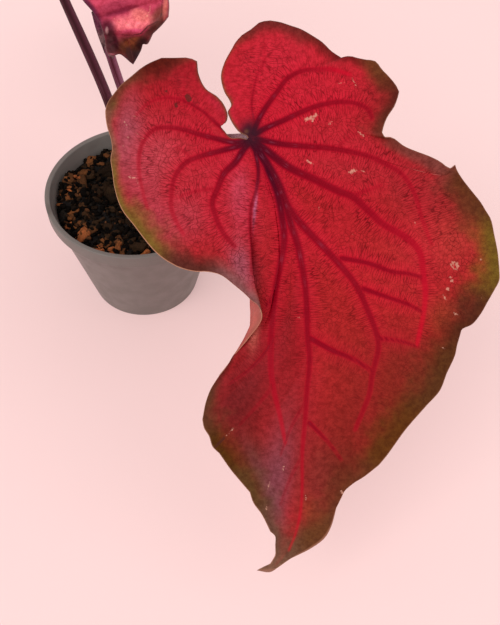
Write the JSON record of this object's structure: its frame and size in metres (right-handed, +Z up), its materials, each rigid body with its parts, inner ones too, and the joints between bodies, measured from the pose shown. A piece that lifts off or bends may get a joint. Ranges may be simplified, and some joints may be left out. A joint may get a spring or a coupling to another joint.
{
  "type": "potted caladium",
  "caption": "Small red-leaved caladium in a tapered nursery pot: a broad waved heart-shaped blade hangs forward, with a second leaf behind and a shrivelled pink young leaf.",
  "frame": {"origin": "centre of the pot's flat base, on the surface that the pot stands on", "axes": "+Z up along the pot's axis; the front leaf hangs towards -Y and +X, the left leaf towards +Y and -X"},
  "size_m": [0.2167, 0.2566, 0.1517],
  "materials": {
    "pot_plastic": "satin",
    "potting_mix": "matte",
    "tuber_skin": "matte",
    "stalk_maroon": "satin",
    "stalk_mauve": "satin",
    "leaf_red": "satin",
    "leaf_pink": "satin"
  },
  "bodies": {
    "root": {"pot": "pot_plastic", "soil": "potting_mix", "tuber": "tuber_skin", "front_stalk": "stalk_maroon", "front_blade": "leaf_red", "left_stalk": "stalk_maroon", "left_blade": "leaf_red", "young_stalk": "stalk_mauve", "young_blade": "leaf_pink"}
  },
  "joints": []
}
